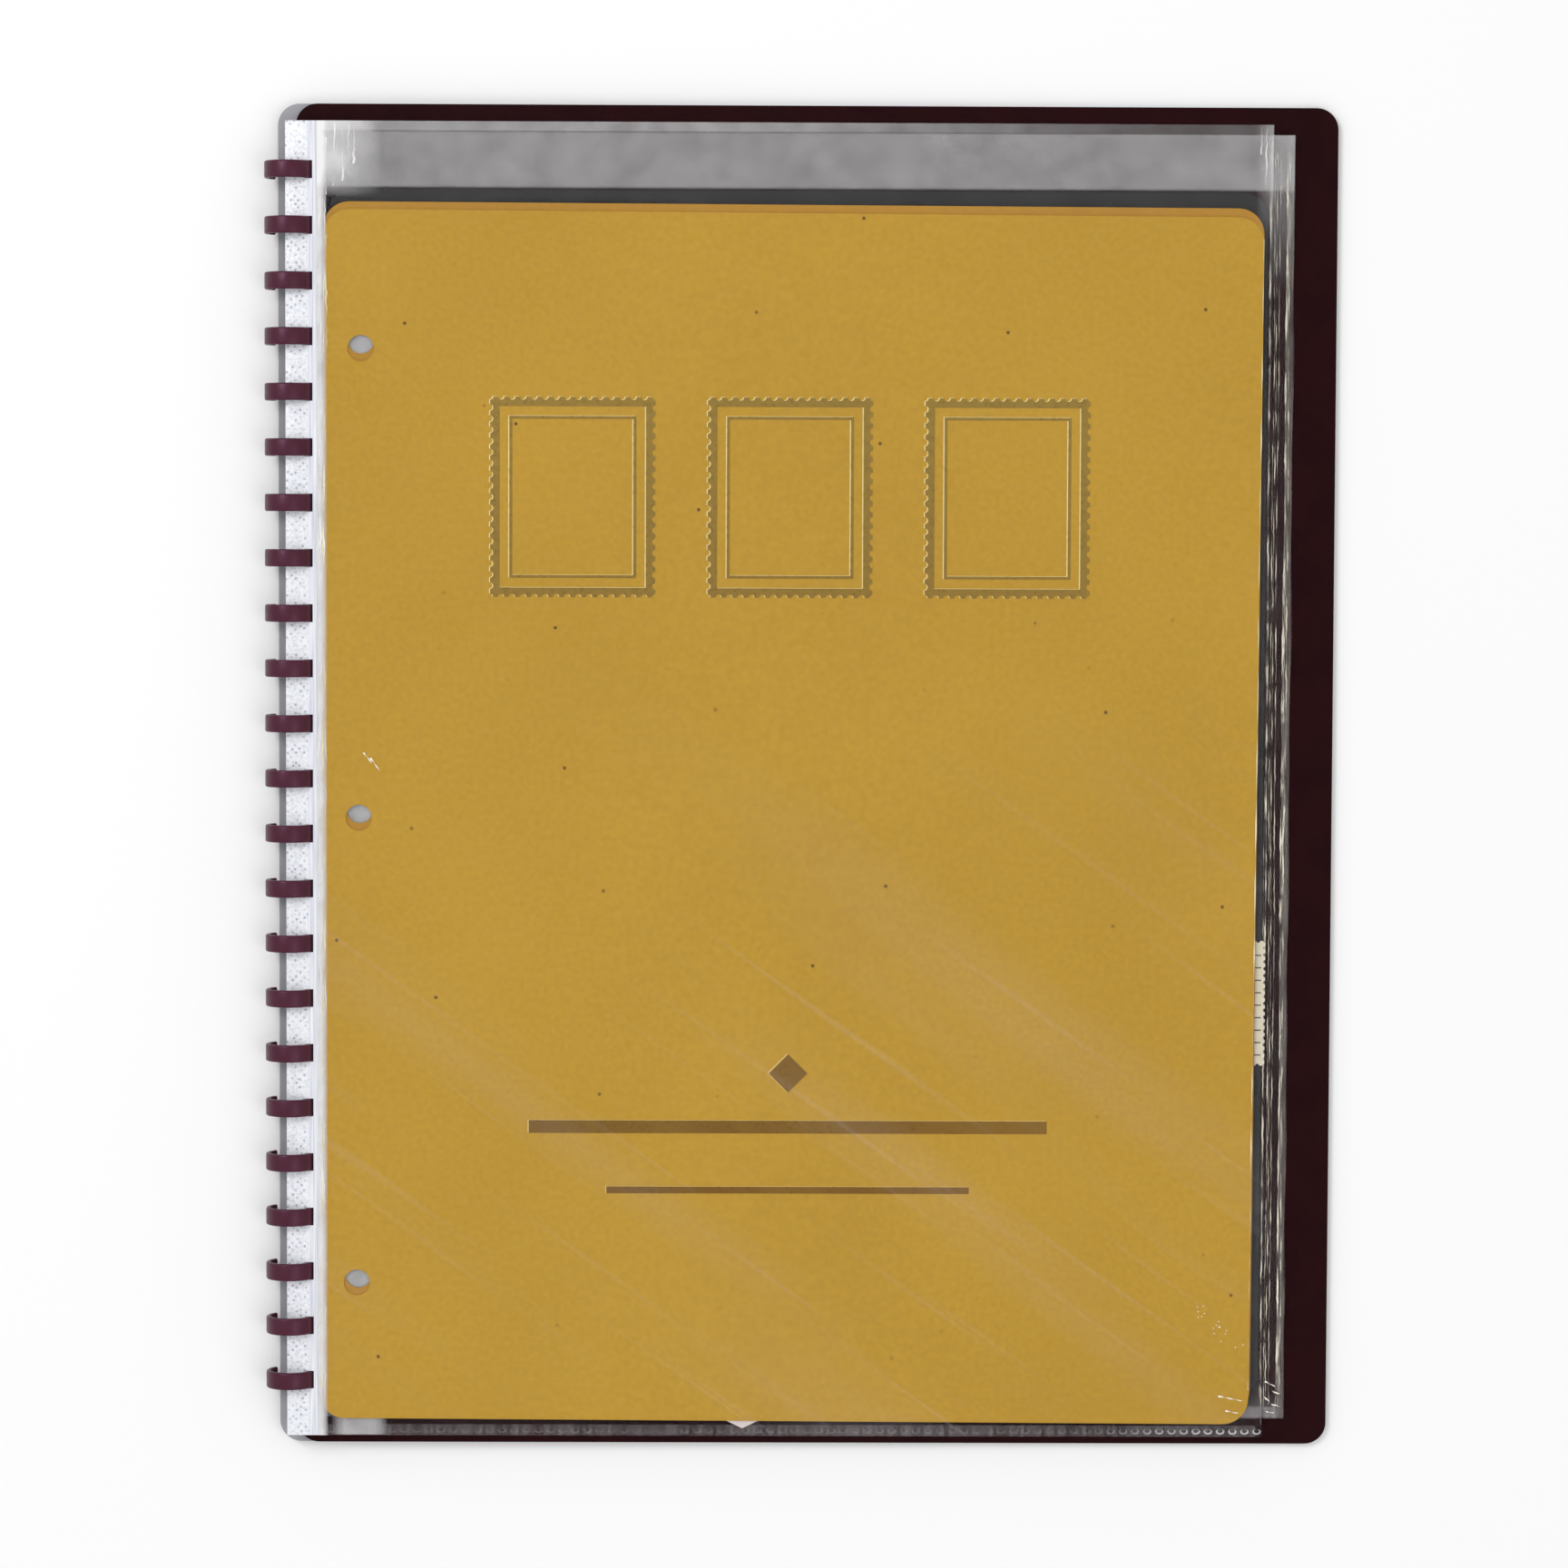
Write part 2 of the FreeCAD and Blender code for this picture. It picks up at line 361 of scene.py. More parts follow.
@dataclass(frozen=True)
class MouldedPlastic(Finish):
    """Matte plastic with a fine moulded grain."""

    colour: Colour
    second_tone: Colour
    roughness: float
    shine: float
    grain: float = 2600.0
    sheen: Colour = (1.0, 1.0, 1.0)

    def lay(self, s: Shader) -> None:
        """Set a clouded colour, a tinted shine and the grain.

        Args:
            s: Its shader.
        """
        cloud = s.ranged(s.noise(90.0, 5.0), 0.35, 0.7)
        rough = s.mottled(self.grain / 3, self.roughness - 0.06, self.roughness + 0.08)
        s.set(Base_Color=s.blended(cloud, self.colour, self.second_tone), Roughness=rough)
        s.set(Specular_IOR_Level=self.shine, Specular_Tint=self.sheen)
        s.bump(s.noise(self.grain, 2.0), 0.25, 0.06 * MM)


@dataclass(frozen=True)
class FrostedSheet(Finish):
    """Grey translucent plastic sheet."""

    colour: Colour
    cover: float

    def lay(self, s: Shader) -> None:
        """Set a frosted face that lets a little light through.

        Args:
            s: Its shader.
        """
        s.set(Base_Color=self.colour, Roughness=s.mottled(900.0, 0.42, 0.6))
        s.set(Alpha=s.mottled(140.0, self.cover - 0.05, self.cover + 0.05, detail=4.0))
        s.bump(s.noise(1800.0), 0.3, 0.05 * MM)


@dataclass(frozen=True)
class HazeAndSheenZone:
    """Part of a film with added cover: thicker haze, and in the glare zones painted sheen.

    Each limit names an object axis and a place on it, and says how many millimetres from there
    the zone begins and is full.
    """

    amount: float
    limits: tuple[tuple[str, float, float, float], ...]

    def spread(self, s: Shader) -> Socket:
        """Find the haze that the zone adds, and in a glare zone its painted sheen, patchy and
        fading at its edges.

        Args:
            s: The film's shader.

        Returns:
            The added haze and painted sheen.
        """
        haze = s.mottled(160.0, self.amount * 0.75, self.amount * 1.25, detail=5.0)
        for name, place, start, full in self.limits:
            limit = s.ranged(s.axis(name), place + start * MM, place + full * MM)
            haze = s.maths("MULTIPLY", haze, limit)
        return haze


@dataclass(frozen=True)
class ClearFilm(Finish):
    """Clear glossy film with a thin haze, and on some films painted sheen."""

    haze: float
    zones: tuple[HazeAndSheenZone, ...] = ()
    pattern: Pattern = Pattern.EVEN
    slant: float = 35.6

    def streaks(self, s: Shader) -> Socket:
        """Find the painted sheen of soft slanting streaks over the lower half of the sheet.

        Args:
            s: The film's shader.

        Returns:
            The added painted sheen.
        """
        wide = s.noise(1.0, 2.0, s.mapped(self.slant, (3.0, 34.0, 1.0)))
        thin = s.noise(1.0, 3.0, s.mapped(self.slant, (6.0, 330.0, 1.0)))
        broad = s.ranged(wide, 0.5, 0.75, 0.0, 0.024)
        fine = s.ranged(thin, 0.6, 0.8, 0.0, 0.045)
        lower = s.ranged(s.axis("Y"), 30 * MM, -60 * MM)
        return s.maths("MULTIPLY", s.maths("ADD", broad, fine), lower)

    def lay(self, s: Shader) -> None:
        """Set a glossy face whose haze, with any painted sheen, is its cover.

        Args:
            s: Its shader.
        """
        s.set(Base_Color=(0.9, 0.89, 0.9), IOR=2.6, Roughness=s.mottled(400.0, 0.1, 0.2))
        haze = s.mottled(60.0, self.haze * 0.7, self.haze * 1.3, detail=4.0)
        # Painted sheen: slanting streaks added to the haze.
        if self.pattern is Pattern.SHEEN_STREAKED:
            haze = s.maths("ADD", haze, self.streaks(s))
        for zone in self.zones:
            haze = s.maths("ADD", haze, zone.spread(s))
        s.set(Alpha=haze)
        s.bump(s.noise(35.0, 4.0), 0.6, 0.2 * MM)


@dataclass(frozen=True)
class WeldedFilm(Finish):
    """Film pressed together along a weld."""

    cover: float
    colour: Colour

    def lay(self, s: Shader) -> None:
        """Set a face crinkled along the weld.

        Args:
            s: Its shader.
        """
        grain = s.mapped(0.0, (900.0, 90.0, 1.0))
        crinkle = s.noise(1.0, 4.0, grain)
        s.set(Base_Color=self.colour, IOR=2.2, Roughness=0.14)
        s.set(Alpha=s.ranged(crinkle, 0.35, 0.7, self.cover * 0.4, self.cover * 1.7))
        s.bump(s.noise(1.3, 5.0, grain), 0.9, 0.4 * MM)


@dataclass(frozen=True)
class CreaseGloss(Finish):
    """Painted highlight: a bright broken line of light on a crease in film."""

    colour: Colour
    broken: float
    bits: float
    faint: float = 0.25

    def lay(self, s: Shader) -> None:
        """Set a bright face, a painted highlight, that shows in bits and in longer runs.

        Args:
            s: Its shader.
        """
        along = s.noise(1.0, 4.0, s.mapped(0.0, (300.0, self.bits, 1.0)))
        bits = s.ranged(along, self.broken - 0.1, self.broken + 0.12, 0.03, 0.95)
        runs = s.ranged(s.noise(28.0, 2.0), 0.35, 0.6, self.faint)
        s.set(Base_Color=self.colour, Roughness=0.2, IOR=1.8)
        s.set(Alpha=s.maths("MULTIPLY", bits, runs))
        s.bump(s.noise(900.0, 3.0), 0.5, 0.1 * MM)


@dataclass(frozen=True)
class EmbossedStrip(Finish):
    """White binding strip with fine pressed dots, darkened by painted shade, and a clear creased
    band beside the pocket.
    """

    colour: Colour
    # The dot colour is painted shade in the pressed dots.
    dot: Colour
    band: Colour
    band_start: float
    pitch: float = 1.35 * MM

    def lay(self, s: Shader) -> None:
        """Set the dotted strip and the clear band.

        Args:
            s: Its shader.
        """
        turned = s.mapped(45.0, (1 / self.pitch, 1 / self.pitch, 0.0))
        # The dot colour, laid on the pressed dots and the fine mottle, is painted shade of the
        # embossing.
        dots = s.ranged(s.cells(1.0, turned, 0.4), 0.13, 0.32, 1.0, 0.0)
        patch = s.ranged(s.noise(420.0, 4.0), 0.4, 0.6, 0.15)
        mottle = s.ranged(s.noise(1900.0, 3.0), 0.45, 0.68, 0.0, 0.42)
        edge = (self.band_start - 0.3 * MM, self.band_start + 0.5 * MM)
        beside = s.ranged(s.axis("X"), *edge)
        pressed = s.maths("MAXIMUM", s.maths("MULTIPLY", dots, patch), mottle)
        mark = s.maths("MULTIPLY", pressed, s.maths("SUBTRACT", 1.0, beside))
        crease = s.ranged(s.noise(1.0, 4.0, s.mapped(0.0, (2600.0, 45.0, 1.0))), 0.35, 0.65)
        dotted = s.blended(mark, self.colour, self.dot)
        clear = s.blended(crease, self.band, self.colour)
        s.set(Base_Color=s.blended(beside, dotted, clear), Roughness=0.3)
        s.bump(s.maths("SUBTRACT", s.noise(1500.0, 4.0), mark), 0.5, 0.12 * MM)


@dataclass(frozen=True)
class CardStock(Finish):
    """Uncoated card with mottling, fibres and specks."""

    colour: Colour
    shade: Colour
    speck: Colour

    def lay(self, s: Shader) -> None:
        """Set a matte face with a grain and a few specks.

        Args:
            s: Its shader.
        """
        broad = s.ranged(s.noise(18.0, 5.0), 0.35, 0.68, 0.0, 0.4)
        fine = s.ranged(s.noise(850.0, 6.0), 0.32, 0.68, 0.0, 0.75)
        paper = s.blended(s.maths("ADD", broad, fine), self.colour, self.shade)
        near = s.ranged(s.cells(30.0), 0.008, 0.015, 1.0, 0.0)
        dots = s.maths("MULTIPLY", near, s.ranged(s.noise(45.0, 2.0), 0.46, 0.56))
        s.set(Base_Color=s.blended(dots, paper, self.speck), Specular_IOR_Level=0.3)
        s.set(Roughness=s.mottled(300.0, 0.62, 0.8))
        s.bump(s.noise(1700.0, 5.0), 0.35, 0.06 * MM)


@dataclass(frozen=True)
class GoldFoil(Finish):
    """Hot-stamped foil, mottled and darker towards the foot of the card."""

    colour: Colour
    dark: Colour

    def lay(self, s: Shader) -> None:
        """Set a metal face that darkens towards the foot of the card.

        Args:
            s: Its shader.
        """
        fade = s.ranged(s.axis("Y"), -100 * MM, 80 * MM, 1.0, 0.0)
        second_tone = s.maths("MULTIPLY", fade, s.ranged(s.noise(60.0, 4.0), 0.2, 0.6, 0.6))
        s.set(Base_Color=s.blended(second_tone, self.colour, self.dark), Metallic=1.0)
        s.set(Roughness=s.mottled(900.0, 0.24, 0.44, detail=4.0))
        s.bump(s.noise(1500.0, 3.0), 0.3, 0.04 * MM)


# Places and slopes, from the boxes of the CAD pieces

(FILM_LEFT, _, FILM_LOW), (FILM_RIGHT, _, FILM_HIGH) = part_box("leaf_1_front_film")
SLOPE = (FILM_HIGH - FILM_LOW - FILM_THICKNESS) / (FILM_RIGHT - FILM_LEFT)
TITLE_RIGHT, TITLE_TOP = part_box("title_card")[1][:2]
STOCK_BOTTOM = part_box("stock_card_2")[0][1]
STOCK_RIGHT, STOCK_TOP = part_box("stock_card_2")[1][:2]
POCKET_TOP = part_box("leaf_2_front_film")[1][1]
FINGERS_LOW, FINGERS_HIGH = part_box("comb_fingers")
PITCH = (FINGERS_HIGH[1] - FINGERS_LOW[1] - FINGER_WIDTH) / (FINGERS - 1)

OVER_CARDS = HazeAndSheenZone(0.0255, (("Y", STOCK_TOP, 0.2, 0.9),))
UNDER_CARDS = HazeAndSheenZone(0.004, (("Y", STOCK_BOTTOM, 1, -2),))
EDGE_FADE = HazeAndSheenZone(0.016, (("X", STOCK_RIGHT, 0.3, 1), ("Y", STOCK_TOP, -22, 0)))
TOP_HEM = HazeAndSheenZone(0.155, (("Y", POCKET_TOP, -0.2, 0.2), ("X", 0, 80, -10)))
FOLD = HazeAndSheenZone(0.7, (("X", FILM_LEFT, 2.3, 0.8),))
# Painted glare: a soft white sheen over the top left corner of the title film.
CORNER = HazeAndSheenZone(0.5, (("X", FILM_LEFT, 15, 4), ("Y", STOCK_TOP, -2, 5)))
FAR_CORNER = HazeAndSheenZone(0.12, (("X", TITLE_RIGHT, -2, 1), ("Y", STOCK_TOP, -10, 4)))
# Painted highlight: the pressed dots of the bottom weld grow brighter towards the right.
NEAR_CORNER = HazeAndSheenZone(0.26, (("X", 0, 70, 96),))
BESIDE_HOLES = (("X", FILM_LEFT, 16, 13), ("X", FILM_LEFT, 3, 6), ("Y", TITLE_TOP, -10, -25))
CLOUDED = HazeAndSheenZone(0.28, BESIDE_HOLES)

MAROON = MouldedPlastic(
    "maroon_moulding",
    colour=(0.05, 0.0055, 0.0125),
    second_tone=(0.058, 0.0075, 0.0165),
    roughness=0.36,
    shine=0.55,
    sheen=(0.82, 0.52, 0.76),
)
DARK_SHEET = MouldedPlastic(
    "dark_maroon_sheet",
    colour=(0.0135, 0.0014, 0.0022),
    second_tone=(0.018, 0.002, 0.003),
    roughness=0.6,
    shine=0.06,
    grain=3400.0,
)
FROST = FrostedSheet("frosted_sheet", (0.36, 0.36, 0.385), 0.82)
TOP_ZONES = (OVER_CARDS, TOP_HEM, FOLD, CORNER, FAR_CORNER)
# The title film carries painted sheen streaks.
TOP_FILM = ClearFilm("title_pocket_film", 0.003, TOP_ZONES, Pattern.SHEEN_STREAKED)
REAR_FILM = ClearFilm("title_pocket_rear_film", 0.003, (OVER_CARDS, CLOUDED))
PLAIN_FILM = ClearFilm("pocket_film", 0.002, (OVER_CARDS, UNDER_CARDS, EDGE_FADE))
STRIP_FILM = ClearFilm("stock_strip_film", 0.04)
PRESSED = ClearFilm("pressed_dots", 0.04, (NEAR_CORNER,))
WELD = WeldedFilm("welded_film", 0.028, (0.62, 0.58, 0.5))
CLEAR_WELD = WeldedFilm("clear_weld_film", 0.004, (0.62, 0.6, 0.54))
BOTTOM_WELD = WeldedFilm("bottom_weld_film", 0.045, (0.66, 0.6, 0.62))
# Painted highlights: bright lines of light on the creases, folds and card edges, and glints.
EDGE_GLINT = CreaseGloss("edge_crease", (0.93, 0.86, 0.7), 0.49, 170.0, 0.15)
FOLD_GLINT = CreaseGloss("fold_crease", (0.95, 0.94, 0.92), 0.45, 60.0)
CARD_EDGE_GLINT = CreaseGloss("card_edge_crease", (0.97, 0.88, 0.55), 0.5, 60.0)
GLINT = CreaseGloss("glint", (0.99, 0.96, 0.84), 0.3, 900.0, 0.85)
STRIP = EmbossedStrip(
    "embossed_strip",
    colour=(0.88, 0.9, 0.945),
    # Painted shade of the embossed dots.
    dot=(0.42, 0.43, 0.52),
    band=(0.6, 0.61, 0.69),
    band_start=RING_AXIS[0] + 4.5 * MM,
)
FOIL = GoldFoil("gold_foil", (0.33, 0.215, 0.05), (0.21, 0.105, 0.022))
# Painted highlight: a lighter foil set just under the foil, shifted left and up, shows as bright
# rims on its left and top edges.
FOIL_RIM_HIGHLIGHT = GoldFoil("gold_foil_rim", (0.86, 0.7, 0.32), (0.72, 0.5, 0.16))
OCHRE, SHADED_OCHRE, CHARCOAL, STAMP_PAPER, SLIP_PAPER, INK, *PRINTS = (
    CardStock(name, colour, shade, speck)
    for name, colour, shade, speck in (
        ("ochre_card", (0.505, 0.292, 0.026), (0.435, 0.246, 0.022), (0.12, 0.055, 0.01)),
        # The second title card's colour is the ochre darkened: painted shade on its strip above
        # the title card.
        ("shaded_ochre_card", (0.44, 0.226, 0.027), (0.39, 0.198, 0.024), (0.12, 0.055, 0.01)),
        ("charcoal_card", (0.025, 0.025, 0.0252), (0.019, 0.019, 0.0192), (0.04, 0.04, 0.04)),
        ("stamp_paper", (0.72, 0.66, 0.52), (0.66, 0.6, 0.46), (0.5, 0.42, 0.3)),
        ("slip_paper", (0.74, 0.66, 0.64), (0.7, 0.6, 0.57), (0.6, 0.5, 0.48)),
        ("tick_ink", (0.05, 0.05, 0.055), (0.07, 0.07, 0.07), (0.1, 0.1, 0.1)),
        ("print_rose", (0.42, 0.09, 0.09), (0.36, 0.07, 0.08), (0.5, 0.2, 0.2)),
        ("print_green", (0.08, 0.22, 0.12), (0.06, 0.18, 0.1), (0.2, 0.35, 0.22)),
        ("print_blue", (0.06, 0.13, 0.32), (0.05, 0.1, 0.26), (0.2, 0.25, 0.45)),
        ("print_brown", (0.24, 0.13, 0.06), (0.2, 0.1, 0.05), (0.35, 0.22, 0.12)),
        ("print_violet", (0.2, 0.09, 0.26), (0.17, 0.07, 0.22), (0.3, 0.2, 0.36)),
    )
)


def paint(piece: Piece, finish: Finish) -> Piece:
    """Give a piece its one material.

    Args:
        piece: The piece to paint.
        finish: Its finish.

    Returns:
        The same piece.
    """
    piece.data.materials.clear()
    piece.data.materials.append(finish.material())
    return piece


def dress(node: str, finish: Finish) -> None:
    """Give a CAD node a better material.

    Args:
        node: Name of the node.
        finish: The finish that it gets.
    """
    for slot in frame["nodes"][node].material_slots:
        slot.material = finish.material()
    LOG.info("dressed %s in %s", node, finish.name)


def place(piece: Piece, body: str, *nodes: str) -> None:
    """Let a piece ride on a body, and stand for the nodes named.

    Args:
        piece: The finished piece.
        body: The body that carries it.
        *nodes: CAD nodes that it stands for.
    """
    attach(piece, body)
    if nodes:
        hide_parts(*nodes)
    LOG.info("placed %s on %s", piece.name, body)


# Pieces


@dataclass(frozen=True)
class Crease:
    """One crease in film: a thin wavering ridge that runs up the sheet."""

    x: float
    low: float
    high: float
    width: float
    sway: float
    seed: int
    taper: float = 0.0
    tilt: float = 0.0
    spacing: float = 1.1 * MM
    beat: float = 420.0
    rise: float = 0.05 * MM

    def model(self) -> Piece:
        """Model the ridge flat, at the height of the table.

        Returns:
            The ridge.
        """
        fewest_rows, columns = 6, 2
        rows = max(int((self.high - self.low) / self.spacing), fewest_rows)
        left = self.x - self.width / 2
        ridge = grid((left, self.low), (left + self.width, self.high), columns, rows)
        draw = random.Random(self.seed)
        phases = [draw.uniform(0, FULL_TURN) for _ in range(3)]
        jolts = [draw.uniform(-1, 1) for _ in range(rows + 2)]
        for vertex in ridge.data.vertices:
            y = vertex.co.y
            step = (y - self.low) / (self.high - self.low)
            bow = math.sin(37 * y + phases[0]) + 0.6 * math.sin(101 * y + phases[1])
            waver = 0.45 * bow + 0.35 * jolts[int(round(step * rows))]
            swell = 0.55 + 0.45 * math.sin(self.beat * y + phases[2])
            side = vertex.co.x - self.x
            slim = swell * (1 - self.taper * step)
            vertex.co.x = self.x + side * slim + self.sway * waver + self.tilt * step
            if abs(side) < self.width / 4:
                vertex.co.z += self.rise
        return thickened(ridge, thickness=0.03 * MM)


def wrinkle(ends: Row, seed: int) -> Piece:
    """Model one short wrinkle between two points.

    Args:
        ends: Its two ends, as x, y, x, y in millimetres.
        seed: Chooses its wavering.

    Returns:
        The wrinkle.
    """
    x0, y0, x1, y1 = (value * MM for value in ends)
    length = math.hypot(x1 - x0, y1 - y0)
    form = {"width": 0.44 * MM, "sway": 0.2 * MM, "taper": 0.6}
    line = Crease(0, 0, length, seed=seed, spacing=0.25 * MM, beat=2700.0, **form).model()
    line.rotation_euler = (0, 0, math.atan2(y1 - y0, x1 - x0) - math.pi / 2)
    line.location = (x0, y0, 0)
    return settle(line)


def upper_face(node: str, rise: float) -> Height:
    """Find how high a leaning node's upper face lies at any place, with an extra rise."""
    low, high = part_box(node)
    return lambda x, y: high[2] + rise - (x - low[0]) * SLOPE


@dataclass
class CombBinding:
    """Maroon comb: a flat spine with round fingers."""

    thickness: float = 1.1 * MM
    edge: float = 0.42 * MM
    gap_degrees: float = 6.0

    def finger(self) -> Piece:
        """Model the lowest finger: a rounded band turned round the rings' axis.

        Returns:
            The finger.
        """
        left, bottom, foot = FINGERS_LOW
        radius = (FINGERS_HIGH[0] - left) / 2
        upright = math.radians(90)
        band = primitive("plane", size=1, rotation=(upright, 0, upright))
        band.scale = (FINGER_WIDTH, self.thickness, 1)
        settle(band)
        for vertex in band.data.vertices:
            vertex.co.z -= radius - self.thickness / 2
        bpy.ops.object.mode_set(mode="EDIT")
        bpy.ops.mesh.select_all(action="SELECT")
        bpy.ops.mesh.bevel(offset=self.edge, segments=4, affect="VERTICES")
        seat = math.asin((RING_AXIS[2] - foot) / radius)
        opening = math.pi / 2 - seat + math.radians(self.gap_degrees)
        about = {"orient_axis": "Y", "orient_type": "GLOBAL", "center_override": (0, 0, 0)}
        bpy.ops.transform.rotate(value=-opening, **about)
        sweep = FULL_TURN - 2 * opening
        bpy.ops.mesh.spin(steps=44, angle=sweep, center=(0, 0, 0), axis=(0, -1, 0))
        bpy.ops.mesh.select_all(action="SELECT")
        bpy.ops.mesh.remove_doubles(threshold=0.01 * MM)
        bpy.ops.mesh.normals_make_consistent(inside=False)
        bpy.ops.object.mode_set(mode="OBJECT")
        band.location = (RING_AXIS[0], bottom + FINGER_WIDTH / 2, RING_AXIS[2])
        return settle(band)

    def build(self) -> None:
        """Copy the finger along the spine."""
        first = self.finger()
        others = [copied(first, (0, i * PITCH, 0)) for i in range(1, FINGERS)]
        comb = smooth(joined("comb_fingers_moulded", [first, *others]), degrees=50)
        place(paint(comb, MAROON), "front_cover", "comb_fingers")


@dataclass
class PlainPieces:
    """Pieces that keep their CAD shapes: the spine, the covers, the cards and the torn slip."""

    finishes: tuple[tuple[str, Finish], ...] = (
        ("comb_spine", MAROON),
        ("front_cover", FROST),
        ("back_cover", DARK_SHEET),
        ("title_card", OCHRE),
        ("second_title_card", SHADED_OCHRE),
        ("paper_slip", SLIP_PAPER),
    )

    def build(self) -> None:
        """Dress the pieces."""
        for node, finish in self.finishes:
            dress(node, finish)


@dataclass
class PocketLeaf:
    """One clear pocket with its binding strip, films and welds."""

    number: int
    crease_places: Row
    front: ClearFilm = PLAIN_FILM
    back: ClearFilm = PLAIN_FILM
    dots: bool = False
    weld: WeldedFilm = WELD
    wrinkles: tuple[Row, ...] = ()
    thin: float = 0.05 * MM
    wave: float = 0.05 * MM
    crease_widths: Row = (0.34, 0.24, 0.2)
    crease_inset: float = 0.25 * MM
    side_width: float = 1.6 * MM
    side_swing: float = 0.25 * MM
    side_roughness: float = 0.06
    foot_height: float = 2.6 * MM
    foot_swing: float = 0.03 * MM
    dot_pitch: float = 2.83 * MM
    dot_radius: float = 0.7 * MM
    dot_shape: Point = (1.15, 0.8, 0.5)

    @property
    def body(self) -> str:
        """Name of the leaf's body."""
        return f"leaf_{self.number}"

    @property
    def weld_box(self) -> tuple[Point, Point]:
        """Lowest and highest corner of the leaf's weld."""
        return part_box(f"{self.body}_edge_weld")

    def film(self, side: Side) -> None:
        """Model one film as a thin sheet with soft waves.

        Args:
            side: Which film of the pocket.
        """
        node = f"{self.body}_{side.value}_film"
        (left, bottom, _), (right, top, _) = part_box(node)
        sheet = grid((left, bottom), (right, top), columns=64, rows=88)
        named(sheet, node + "_sheet")
        shift, finish = (7, self.front) if side is Side.FRONT else (0, self.back)
        draw = random.Random(self.number + shift)
        phases = [draw.uniform(0, FULL_TURN) for _ in range(4)]

        def waves(x: float, y: float) -> float:
            """Find the height of long and short waves over the sheet.

            Args:
                x: Place across the sheet.
                y: Place along it.

            Returns:
                The height.
            """
            slow = math.sin(31 * x + 12 * y + phases[0]) + math.sin(53 * y - 17 * x + phases[1])
            quick = math.sin(190 * x + 41 * y + phases[2]) * math.sin(67 * y + phases[3])
            return self.wave * (0.5 * slow + 0.35 * quick)

        raised(sheet, waves)
        raised(sheet, upper_face(node, -self.thin))
        smooth(thickened(sheet, self.thin), degrees=60)
        place(paint(sheet, finish), self.body, node)

    def side_weld(self) -> Piece:
        """Model the crinkled weld along the open edge.

        Returns:
            The weld.
        """
        (_, bottom, _), (right, top, _) = self.weld_box
        strip = grid((right - self.side_width, bottom), (right, top), columns=7, rows=420)
        draw = random.Random(self.number * 31 + 5)
        for vertex in strip.data.vertices:
            ripple = math.sin(160 * vertex.co.y + self.number) * math.sin(47 * vertex.co.y)
            vertex.co.x += self.side_swing * ripple
            vertex.co.z += draw.uniform(-self.side_roughness, self.side_roughness) * MM
        return paint(thickened(strip, thickness=0.08 * MM), self.weld)

    def edge_creases(self) -> Piece:
        """Model the bright creases that run beside the open edge, whose brightness is a painted
        highlight.

        Returns:
            The joined creases with their painted highlights.
        """
        (_, bottom, _), (right, top, _) = self.weld_box
        ends = (bottom + 3 * MM, top - 4 * MM)
        lines = []
        for i, back in enumerate(self.crease_places):
            x = right - self.crease_inset - back * MM
            width = self.crease_widths[i % len(self.crease_widths)] * MM
            line = Crease(x, *ends, width, sway=0.26 * MM, seed=13 * self.number + i)
            lines.append(paint(line.model(), EDGE_GLINT))
        return joined("creases", lines)

    def foot_weld(self) -> Piece:
        """Model the weld along the bottom.

        Returns:
            The weld.
        """
        (left, bottom, _), (right, _, _) = self.weld_box
        ends = (left, bottom), (right - self.side_width, bottom + self.foot_height)
        strip = grid(*ends, columns=180, rows=3)
        raised(strip, lambda x, y: self.foot_swing * math.sin(900 * x + 300 * y))
        return paint(thickened(strip, thickness=0.05 * MM), BOTTOM_WELD)

    def pressed_dot(self) -> Piece:
        """Model one flat ring, thicker at its lower side.

        Returns:
            The ring, round the origin.
        """
        radii = {"major_radius": self.dot_radius, "minor_radius": 0.24 * MM}
        dot = primitive("torus", major_segments=18, minor_segments=6, **radii)
        for vertex in dot.data.vertices:
            turn = math.atan2(vertex.co.y, vertex.co.x)
            ring = (self.dot_radius * math.cos(turn), self.dot_radius * math.sin(turn), 0)
            swell = 0.62 - 0.5 * math.sin(turn)
            vertex.co = [middle + (at - middle) * swell for at, middle in zip(vertex.co, ring)]
        dot.scale = self.dot_shape
        return settle(dot)

    def pressed_dots(self) -> Piece:
        """Model the row of dots pressed into the bottom weld.

        Returns:
            The joined dots.
        """
        (left, bottom, _), (right, _, _) = self.weld_box
        dot = self.pressed_dot()
        dots = []
        x = left + 3 * MM
        while x < right - 1 * MM:
            dots.append(copied(dot, (x, bottom + self.foot_height / 2, 0.06 * MM)))
            x += self.dot_pitch
        bpy.data.objects.remove(dot)
        return paint(joined("dots", dots), PRESSED)

    def welds(self) -> None:
        """Join and place the welds, creases and wrinkles of the pocket."""
        node = f"{self.body}_edge_weld"
        height = upper_face(f"{self.body}_front_film", rise=-0.25 * MM)
        lines = [wrinkle(ends, 60 + i) for i, ends in enumerate(self.wrinkles)]
        # The wrinkles carry painted glints.
        marks = [paint(line, GLINT) for line in lines]
        side = joined(node + "_side", [self.side_weld(), self.edge_creases(), *marks])
        foot = self.foot_weld()
        if self.dots:
            foot = joined("foot", [foot, self.pressed_dots()])
        named(foot, node + "_foot")
        for piece in (side, foot):
            smooth(raised(piece, height), degrees=50)
        place(side, self.body, node)
        place(foot, self.body)

    def build(self) -> None:
        """Build the films and welds, and dress the binding strip."""
        for side in Side:
            self.film(side)
        self.welds()
        if self.number > 1:
            dress(f"{self.body}_binding_strip", STRIP)


